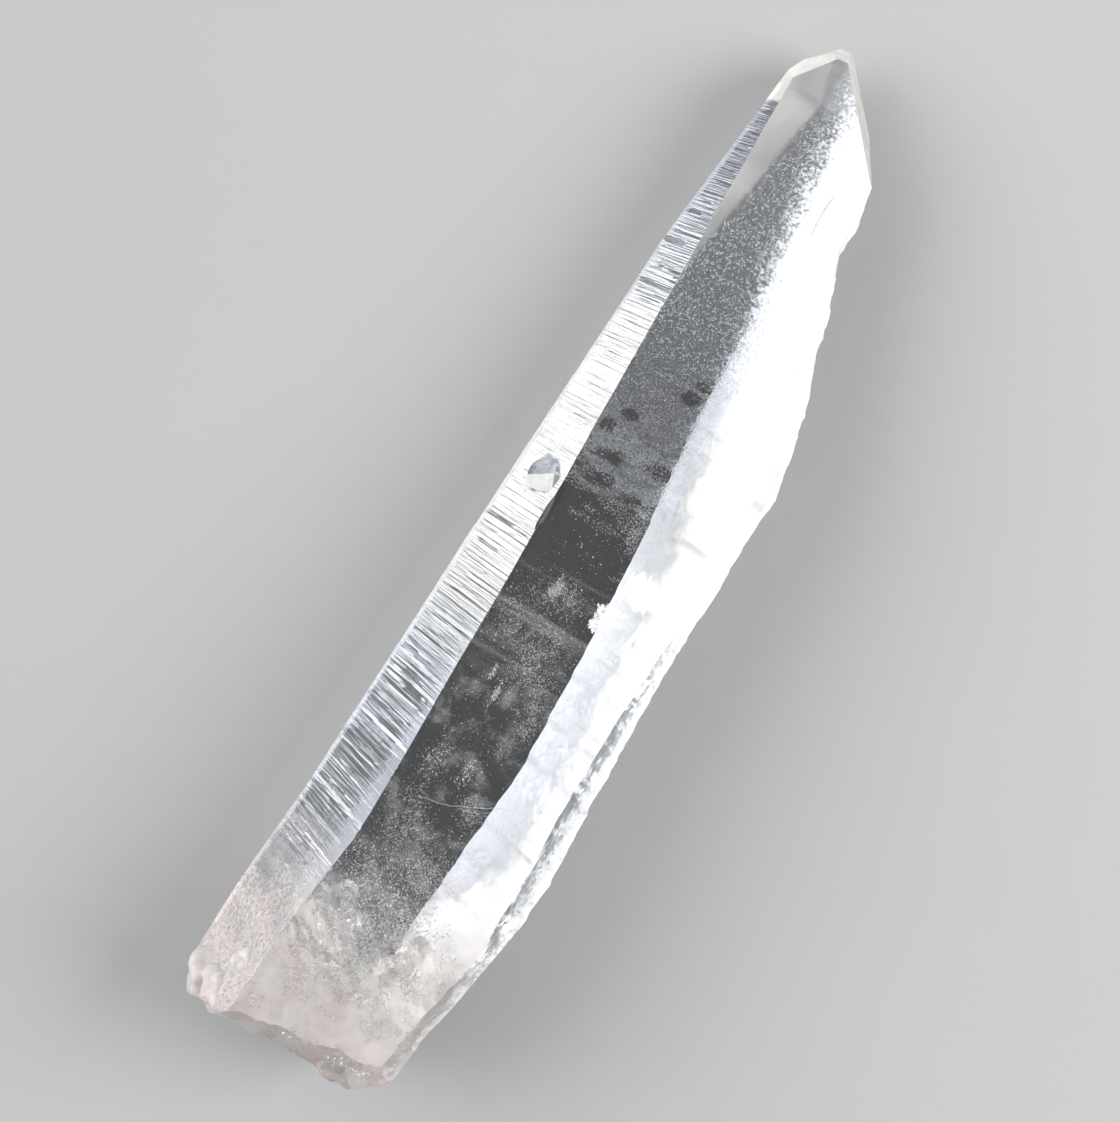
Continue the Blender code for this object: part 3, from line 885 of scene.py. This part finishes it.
class Value:
    """What a shader works out for each point: a number, a vector or a colour."""

    def __init__(self, nodes, socket):
        self.nodes = nodes
        self.socket = socket

    def math(self, operation, other=0.0):
        inputs = {0: self, 1: other}
        return self.nodes.add("Math", inputs, operation=operation)["Value"]

    def __add__(self, other):
        return self.math("ADD", other)

    def __sub__(self, other):
        return self.math("SUBTRACT", other)

    def __mul__(self, other):
        return self.math("MULTIPLY", other)

    def __truediv__(self, other):
        return self.math("DIVIDE", other)

    def __abs__(self):
        return self.math("ABSOLUTE")

    def __rsub__(self, other):
        return self * -1.0 + other

    def blend(self, a, b):
        """A number, a where this is 0 and b where it is 1."""
        return self.nodes.add("Mix", {0: self, 2: a, 3: b}, data_type="FLOAT")["Result"]

    def tint(self, a, b):
        """A colour, a where this is 0 and b where it is 1."""
        return self.nodes.add("Mix", {0: self, 6: a, 7: b}, data_type="RGBA")["Result"]

    def ramp(self, low, high, start=0.0, end=1.0, smooth=True):
        """From start, where this is low, to end, where it is high, and flat beyond."""
        kind = "SMOOTHSTEP" if smooth else "LINEAR"
        inputs = {0: self, 1: low, 2: high, 3: start, 4: end}
        return self.nodes.add("MapRange", inputs, interpolation_type=kind)["Result"]

    def swing(self, amount, low=0.3, high=0.7):
        """Turns noise into a shift of up to amount each way."""
        return self.ramp(low, high, -amount, amount)

    def noise(self, scale, detail=2.0, roughness=0.5):
        inputs = {"Vector": self, "Scale": scale, "Detail": detail, "Roughness": roughness}
        return self.nodes.add("TexNoise", inputs)["Fac"]

    def stretch(self, *factors):
        inputs = {0: self, 1: factors}
        return self.nodes.add("VectorMath", inputs, operation="MULTIPLY")["Vector"]

    def split(self):
        return self.nodes.add("SeparateXYZ", {0: self}).values()


def combine_xyz(x, y, z):
    return x.nodes.add("CombineXYZ", {0: x, 1: y, 2: z})["Vector"]


def most(value, *others):
    """The largest of several numbers."""
    for other in others:
        value = value.math("MAXIMUM", other)
    return value


def line_through(stations, x, smooth=False):
    """What along() gives, for a shader's x."""
    total = stations[0][1]
    for (x0, v0), (x1, v1) in zip(stations, stations[1:]):
        total = x.ramp(x0, x1, 0.0, v1 - v0, smooth) + total
    return total


def new_finish(name):
    """Starts a material. Returns where a point lies in the crystal's own millimetres."""
    nodes = Nodes(bpy.data.materials.new(f"quartz_{name}"))
    where = nodes.add("TexCoord")["Object"]
    inputs = {"Vector": where, "Location": (*CENTRE, 0.0), "Scale": (1.0 / MM,) * 3}
    return nodes.add("Mapping", inputs)["Vector"]


def quartz_shader(veils, roughness, height, bump_mm, colour):
    """The one shader of all the crystal's finishes. The strongest veil counts."""
    nodes = height.nodes
    bump = {"Height": height, "Strength": 1.0, "Distance": bump_mm * MM}
    shader = nodes.add("BsdfPrincipled", {
        "Base Color": colour,
        "Roughness": roughness,
        "IOR": IOR,
        "Transmission Weight": 1.0 - most(*veils),
        "Normal": nodes.add("Bump", bump)["Normal"],
    })
    absorption = {"Color": ABSORPTION, "Density": ABSORPTION_DENSITY}
    volume = nodes.add("VolumeAbsorption", absorption)["Volume"]
    nodes.add("OutputMaterial", {"Surface": shader["BSDF"], "Volume": volume})
    return nodes.owner


def milkiness(where):
    """1 at the milky base, 0 beyond it."""
    x, _, _ = where.split()
    wisps = where.stretch(0.8, 0.4, 0.4).noise(0.4, 4.0, 0.6)
    return (x + wisps.swing(MILK_WANDER)).ramp(*MILK_FROM)


def milky_colour(where, milk, clear=CLEAR_TINT):
    """Clear beyond the base, faintly pink and cream in it."""
    blush = where.noise(0.3).ramp(0.4, 0.6)
    return milk.tint(clear, blush.tint(CREAM, BLUSH))


def milky_shader(where, veil, roughness, height, bump_mm, clear=CLEAR_TINT):
    """The crystal's shader with the milk of the base over it."""
    milk = milkiness(where)
    colour = milky_colour(where, milk, clear)
    return quartz_shader((veil, milk * MILK_VEIL), roughness, height, bump_mm, colour)


def cross_lines(where, scale, detail=1.0, drift=0.05):
    """Noise drawn out into lines that run across the crystal."""
    return where.stretch(1.0, drift, drift).noise(scale, detail, 0.6)


def pits(where, scale):
    """Tiny round dots of uneven strength, 1 at the middle of the strongest."""
    inputs = {"Vector": where, "Scale": scale, "Randomness": 1.0}
    cells = where.nodes.add("TexVoronoi", inputs)
    strength = where.nodes.add("SeparateColor", {0: cells["Color"]})["Red"]
    return cells["Distance"].ramp(0.62, 0.12) * strength.ramp(0.0, 0.6, 0.35, 1.0)


def spot(u, v, middle, radii, edge):
    """1 inside an ellipse, 0 outside; edge adds its unevenness."""
    across, along_it = (u - middle[0]) / radii[0], (v - middle[1]) / radii[1]
    return (across * across + along_it * along_it + edge).ramp(1.2, 0.8)


def pitted_area(where, x, y, above, right_of):
    """1 where the face is pitted, 0 elsewhere."""
    blotches = where.stretch(0.9, 0.35, 0.35).noise(0.5)
    pitted = (x + blotches.swing(PITTED_WANDER, 0.35, 0.65)).ramp(*PITTED_FROM)
    ragged = where.noise(1.5).swing(0.35)
    for middle, radii in CLEAR_SPOTS:
        pitted = pitted * (1.0 - spot(x, y, middle, radii, ragged))
    return pitted * above.ramp(0.6, -0.5) * right_of.ramp(3.2, 1.0)


def pit_veil(where, x, dots, grain, right_of):
    """How strongly the pits veil the face, denser towards the white part."""
    lines = cross_lines(where, 2.2, 2.0, 0.02).swing(0.12, 0.35, 0.65)
    specks = dots + lines + grain.swing(0.2) + x.ramp(76.0, 112.0, -0.1, 0.1)
    specks = specks + right_of.ramp(-2.6, 0.6) * 0.35
    specks = specks.ramp(0.1, 0.9, 0.22, 1.0) * x.ramp(78.0, 106.0, 0.25, 0.33)
    return most(specks, x.ramp(76.0, 122.0, 0.02, 0.11))


def torn_patch(where, x, y):
    """White shreds beside the right edge."""
    shreds = where.stretch(1.0, 0.8, 0.8).noise(1.7, 5.0, 0.75)
    edge = shreds.swing(0.9, 0.35, 0.65)
    patches = most(*(spot(x, y, middle, radii, edge) for middle, radii in TORN_PATCHES))
    return patches * shreds.ramp(0.6, 0.4, 0.2, 0.75)


def arc_line(x, y):
    """A thin shallow arc on the white part."""
    away = x - ARC_TOP[0]
    off = abs(y - ARC_TOP[1] - away * away * ARC_BEND)
    return off.ramp(*ARC_LINE) * x.ramp(*ARC_FROM) * x.ramp(*ARC_TO) * 0.5


def growth_bars(x, right_of, dotted):
    """Faint dotted bars across the white part."""
    bars = most(*(abs(x - middle).ramp(half + 0.25, half) for middle, half in GROWTH_BARS))
    return bars * dotted.ramp(0.5, 1.3, 0.3, 0.8) * right_of.ramp(1.0, 4.5)


def window_haze(where, x):
    """Hazy bands and soft clouds in the clear part."""
    bands = cross_lines(where, 0.7, 3.0).ramp(0.5, 0.66)
    haze = bands * x.ramp(*HAZE_FROM, 0.0, 0.13) * x.ramp(*HAZE_TO)
    clouds = where.noise(0.42, 5.0, 0.65).ramp(0.48, 0.72, 0.0, 0.12)
    return most(haze, clouds * x.ramp(*CLOUDS_TO))


def front_finish():
    """Clear as a window to the middle, with hazy bands; beyond that finely pitted, smooth
    beside the left ridge, and white towards the right."""
    where = new_finish("front")
    x, y, z = where.split()
    milk = milkiness(where)
    soft = where.noise(0.8)
    grain = where.stretch(1.0, 0.85, 0.85).noise(3.0, 2.0, 0.55)
    dots = pits(where, 4.4)
    above = y - line_through(SMOOTH_LINE, x) + soft.swing(0.4)
    right_of = line_through(WHITE_LINE, x) - y
    pitted = pitted_area(where, x, y, above, right_of)

    crumbly = right_of + grain.swing(1.3) + soft.swing(0.6)
    satin = above.ramp(-1.1, 0.1) * x.ramp(*SATIN_FROM)
    beside = (above + grain.swing(0.5)).ramp(-2.2, 0.2, 0.0, 0.14)
    fine_lines = cross_lines(where, 5.0, 1.0, 0.015).ramp(0.4, 0.6, 0.17, 0.27)
    slantwise = combine_xyz(x - y, (x + y) * 0.22, z)
    feather = slantwise.noise(0.7, 4.0, 0.62)
    strands = x.ramp(9.0, 17.0).blend(where.noise(0.35, 4.0, 0.6), feather)
    thinnest, thickest = x.ramp(9.0, 16.0, 0.27, 0.2), x.ramp(9.0, 16.0, 0.35, 0.45)
    veils = (
        milk * strands.ramp(0.35, 0.65, thinnest, thickest),
        pitted * pit_veil(where, x, dots, grain, right_of),
        crumbly.ramp(-2.2, 3.2) * x.ramp(*WHITE_FROM) * 0.85,
        satin.blend(beside, 0.2) * x.ramp(*SATIN_FROM),
        fine_lines * x.ramp(*PRINT_FROM) * y.ramp(*PRINT_BELOW),
        window_haze(where, x),
        torn_patch(where, x, y),
    )
    rough = most(milk * 0.3, x.ramp(*FROSTED_FROM)).blend(CLEAR_ROUGHNESS, 0.25)
    bars = growth_bars(x, right_of, grain + dots)
    shaded = most(satin * x.ramp(120.2, 121.4, 1.0, 0.45), bars)
    colour = (pitted * 0.7).tint(milky_colour(where, milk), BLUISH)
    colour = arc_line(x, y).tint(shaded.tint(colour, SATIN), SHADOW)
    height = dots * pitted * 0.35 + milk * x.ramp(9.0, 18.0, 0.4, 1.6) * feather
    return quartz_shader(veils, rough, height, 0.03, colour)


def striated_finish():
    """Fine lines across the face, some of them frosted, to a smooth cream end."""
    where = new_finish("striated")
    x, y, z = where.split()
    milk = milkiness(where)
    straight = combine_xyz(x - (y - LINES_LEVEL) * line_through(LINES_LEAN, x), y, z)
    fine = cross_lines(straight, 6.0, 2.0, 0.012)
    broad = cross_lines(straight, 1.6, 2.0, 0.02)
    lines = fine * (1.0 - BROAD_SHARE) + broad * BROAD_SHARE
    grain = where.noise(2.2)
    striated = x.ramp(*STRIATED_FROM) * x.ramp(*STRIATED_TO)
    white = lines.ramp(0.49, 0.57) * grain.ramp(0.25, 0.5) * striated
    rim = y - x.ramp(*RIM_LINE) + grain.swing(0.5)
    cream = x.ramp(*CREAM_FROM)
    veils = (
        white * x.ramp(46.0, 58.0, 0.34, 0.24),
        milk * grain.ramp(0.3, 0.7, 0.26, 0.46),
        rim.ramp(1.3, 0.2) * x.ramp(*RIM_TO) * 0.3,
        cream * 0.5,
    )
    blue = x.ramp(58.0, 44.0) + x.ramp(86.0, 100.0)
    clear = x.ramp(99.0, 108.0).tint(blue.tint(CLEAR_TINT, STEEL), SLATE)
    colour = cream.tint(milky_colour(where, milk, clear), CREAM)
    return quartz_shader(veils, white.blend(0.03, 0.2), lines * striated, 0.045, colour)


def back_finish():
    """Clear, with a few frosted patches beyond the middle."""
    where = new_finish("back")
    x, y, _ = where.split()
    patches = where.stretch(0.9, 0.3, 0.3).noise(0.5, 3.0, 0.6)
    shifted = x + patches.swing(9.0) - y.ramp(-6.5, -3.5, -8.0, 0.0)
    frost = shifted.ramp(*BACK_FROST_FROM) * x.ramp(*BACK_FROST_TO)
    grain = where.noise(4.6, 1.0, 0.6)
    specks = grain.ramp(0.52, 0.6) * frost * 0.4
    rough = frost.blend(CLEAR_ROUGHNESS, 0.08)
    return milky_shader(where, specks, rough, grain * frost, 0.02)


def right_finish():
    """The lower right face: pale and cloudy along its foot, frosted and clearer above."""
    where = new_finish("right")
    x, _, z = where.split()
    grain = where.noise(1.6, 4.0, 0.6)
    wavy = z + where.noise(0.35, 3.0).swing(FOOT_WAVE)
    upper = (wavy - line_through(FOOT_HEIGHT, x, smooth=True)).ramp(-1.5, 2.0)
    upper = most(upper, spot(x, z, *FOOT_CHIP, where.noise(0.9, 3.0).swing(0.5)))
    veil = grain.ramp(0.3, 0.7, 0.85, 1.1) * upper.blend(0.8, 0.1)
    clear = upper.tint(BLUISH, CLEAR_TINT)
    return milky_shader(where, veil, upper.blend(0.25, 0.3), grain, 0.04, clear)


def band_finish():
    """The rough band on the right: a smooth bluish strip, then a white crumbled rim."""
    where = new_finish("band")
    x, _, z = where.split()
    grain = where.noise(1.8, 4.0, 0.65)
    depth = line_through(BAND_TOP, x) - z + where.noise(0.7).swing(0.8)
    crumbled = most(depth.ramp(*CRUMBLED_BELOW), x.ramp(*CRUMBLED_FROM))
    veil = grain.ramp(0.35, 0.6) * crumbled.blend(0.06, 0.7)
    clear = crumbled.tint(BLUISH, CLEAR_TINT)
    return milky_shader(where, veil, crumbled.blend(0.06, 0.3), grain, 0.09, clear)


def plain_finish(name, roughness, veil, scale, bump_mm, clear=CLEAR_TINT):
    """A finish that is alike all over, but for its grain and the milky base."""
    where = new_finish(name)
    grain = where.noise(scale, 4.0, 0.6)
    rough = grain.blend(0.8 * roughness, 1.2 * roughness)
    clouded = grain.ramp(0.2, 0.8, 0.85 * veil, 1.15 * veil)
    return milky_shader(where, clouded, rough, grain, bump_mm, clear)


def pit_finish():
    """The broken hollow of the pit: clear, with white shreds."""
    where = new_finish("pit")
    shreds = where.noise(1.5, 4.0, 0.7)
    return quartz_shader((shreds.ramp(0.44, 0.6, 0.04, 0.75),), 0.08, shreds, 0.3, BLUISH)


def matte_shader(colour, roughness):
    nodes = colour.nodes
    shader = nodes.add("BsdfPrincipled", {"Base Color": colour, "Roughness": roughness})
    nodes.add("OutputMaterial", {"Surface": shader["BSDF"]})
    return nodes.owner


def dust_finish(name, colour):
    """The matte finish of the grains, a little darker in places."""
    where = new_finish(name)
    darker = [0.85 * c for c in colour]
    return matte_shader(where.noise(2.0).ramp(0.3, 0.7).tint(darker, colour), 0.35)


MATERIALS = {
    "upper_left": striated_finish(),
    "lower_left": plain_finish("satin", 0.2, 0.1, 5.0, 0.004, CREAM),
    "back": back_finish(),
    "right": right_finish(),
    "band": band_finish(),
    "front": front_finish(),
    "tip": plain_finish("tip", 0.2, 0.3, 0.6, 0.004),
    "bevel": plain_finish("bevel", 0.2, 0.55, 0.6, 0.003, CREAM),
    "fracture": plain_finish("fracture", 0.12, 0.22, 0.9, 0.08),
    "knob": plain_finish("knob", 0.2, 0.45, 1.2, 0.1),
    "pit": pit_finish(),
    "pale": plain_finish("pale", 0.15, 0.8, 1.2, 0.01, PALE),
    # The cleft finish is painted shade: its dark SHADOW base colour stands in for the dark that the
    # narrow cleft shows.
    "cleft_painted_shade": plain_finish("cleft_painted_shade", 0.3, 0.8, 1.5, 0.02, SHADOW),
    "crack": plain_finish("crack", 0.08, 0.08, 1.5, 0.02),
}
FINISHES = tuple(MATERIALS)


# ---- stage --------------------------------------------------------------------------
FLOOR_SIZE = 4.0  # half of its width, m
FLOOR_GAP = 0.0001  # under the crystal, m
FLOOR_DARK, FLOOR_LIGHT = (0.36445,) * 3, (0.37555,) * 3
FLOOR_ROUGHNESS = 0.8
# Lamps: how far to the picture's right, m, the rest of their place, width in m and power in W
LAMPS = (
    ("key", 0.6, (0.0, 0.0, 0.5), 0.5, 6.0),
    ("fill", -0.6, (0.1, 0.1, 0.6), 0.7, 2.0),
)


def add_floor():
    bm = bmesh.new()
    bmesh.ops.create_grid(bm, x_segments=8, y_segments=8, size=FLOOR_SIZE)
    mesh = bpy.data.meshes.new("floor")
    bm.to_mesh(mesh)
    bm.free()
    nodes = Nodes(bpy.data.materials.new("floor"))
    grain = nodes.add("TexCoord")["Object"].noise(40.0, 3.0)
    mesh.materials.append(matte_shader(grain.tint(FLOOR_DARK, FLOOR_LIGHT), FLOOR_ROUGHNESS))
    floor = place_object("floor", mesh)
    floor.location.z = -FLOOR_GAP
    floor.visible_transmission = False


def add_camera():
    """The camera at the photograph's angle. Returns the picture's right."""
    at, target = in_frame(CAMERA_AT), in_frame(CAMERA_TARGET)
    forward = (target - at).normalized()
    right = Vector((math.cos(AXIS_ANGLE), -math.sin(AXIS_ANGLE), 0.0))
    right = (right - right.dot(forward) * forward).normalized()
    up = right.cross(forward)
    data = bpy.data.cameras.new("camera")
    data.sensor_fit = "HORIZONTAL"
    data.sensor_width = SENSOR_WIDTH
    distance_mm = (target - at).length / MM
    data.lens = SENSOR_WIDTH * PX_PER_MM * distance_mm / IMAGE_WIDTH_PX
    data.clip_start = 0.005
    camera = place_object("camera", data)
    camera.matrix_world = Matrix.Translation(at) @ Matrix((right, up, -forward)).transposed().to_4x4()
    bpy.context.scene.camera = camera
    return right


def add_lamp(name, position, size, power):
    data = bpy.data.lights.new(name, "AREA")
    data.shape = "DISK"
    data.size = size
    data.energy = power
    lamp = place_object(name, data)
    lamp.location = position
    lamp.rotation_euler = (-position).to_track_quat("-Z", "Y").to_euler()


# The light all round the crystal, as tones of the world's directions: dark straight below,
# grey beside that, and soft bright patches. A patch has the direction of its middle, the
# cosines at which it starts and is full, and its tone.
WARM_DARK = (1.0, 0.98, 0.9)
COOL = (0.9, 0.97, 1.1)
WHITE = (1.0, 1.0, 1.0)
NADIR_TONE = 0.045
NADIR_INNER, NADIR_OUTER = 0.92, 0.80
BELOW_TONE = 0.16
RIGHT_TONE = 0.22
LEFT_TONE = 1.1
ZENITH_TONE = 0.45
PATCHES = (
    (Vector((-0.12, -0.95, -0.3)), 0.957, 0.975, 1.6),
    (Vector((0.0, 0.87, 0.5)), 0.75, 0.95, 3.0),
    (Vector((0.0, 0.95, -0.3)), 0.86, 0.95, 2.2),
)
# The bright strip that the striated face looks at
STRIP_AIM = Vector((0.0, -0.67, -0.74))
STRIP_TONE = 1.6
STRIP_EDGE, STRIP_CORE = 0.955, 0.985
STRIP_MIDDLE = -0.04  # as a share of the crystal's axis
STRIP_HALF, STRIP_SOFT = 0.10, 0.05


def nearness(way, aim):
    """The cosine between a direction and an aim."""
    inputs = {0: way, 1: tuple(aim.normalized())}
    return way.nodes.add("VectorMath", inputs, operation="DOT_PRODUCT")["Value"]


def add_world():
    world = bpy.data.worlds.new("studio")
    bpy.context.scene.world = world
    nodes = Nodes(world)
    way = nodes.add("TexCoord")["Generated"]
    axial, aside, height = way.split()
    sides = aside.ramp(-0.3, 0.3, RIGHT_TONE, LEFT_TONE)
    above = height.ramp(0.75, 0.95).blend(sides, ZENITH_TONE)
    tone = height.ramp(-0.1, 0.1).blend(BELOW_TONE, above)
    for aim, edge, core, bright in PATCHES:
        tone = nearness(way, aim).ramp(edge, core).blend(tone, bright)
    strip = abs(axial - STRIP_MIDDLE).ramp(STRIP_HALF, STRIP_SOFT)
    strip = strip * nearness(way, STRIP_AIM).ramp(STRIP_EDGE, STRIP_CORE)
    tone = strip.blend(tone, STRIP_TONE)
    tone = height.ramp(-NADIR_INNER, -NADIR_OUTER).blend(NADIR_TONE, tone)
    colour = tone.ramp(0.1, 0.3).tint(WARM_DARK, tone.ramp(0.3, 1.0).tint(COOL, WHITE))
    light = nodes.add("Background", {"Color": colour, "Strength": tone})["Background"]
    nodes.add("OutputWorld", {"Surface": light})
    world.cycles.sampling_method = "NONE"


def build_stage():
    add_floor()
    right = add_camera()
    add_world()
    for name, to_right, rest, size, power in LAMPS:
        add_lamp(name, to_right * right + Vector(rest), size, power)
    scene = bpy.context.scene
    scene.view_settings.view_transform = "Standard"
    scene.cycles.adaptive_threshold = 0.08
    scene.cycles.max_bounces = 10
    scene.cycles.transmission_bounces = 10
    scene.cycles.diffuse_bounces = 2
    scene.cycles.glossy_bounces = 8


def main():
    crystal = build_crystal()
    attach(crystal, "root")
    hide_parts(NODE)
    for dust in (add_inclusions(), add_fog()):
        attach(dust, "root")
    build_stage()


main()
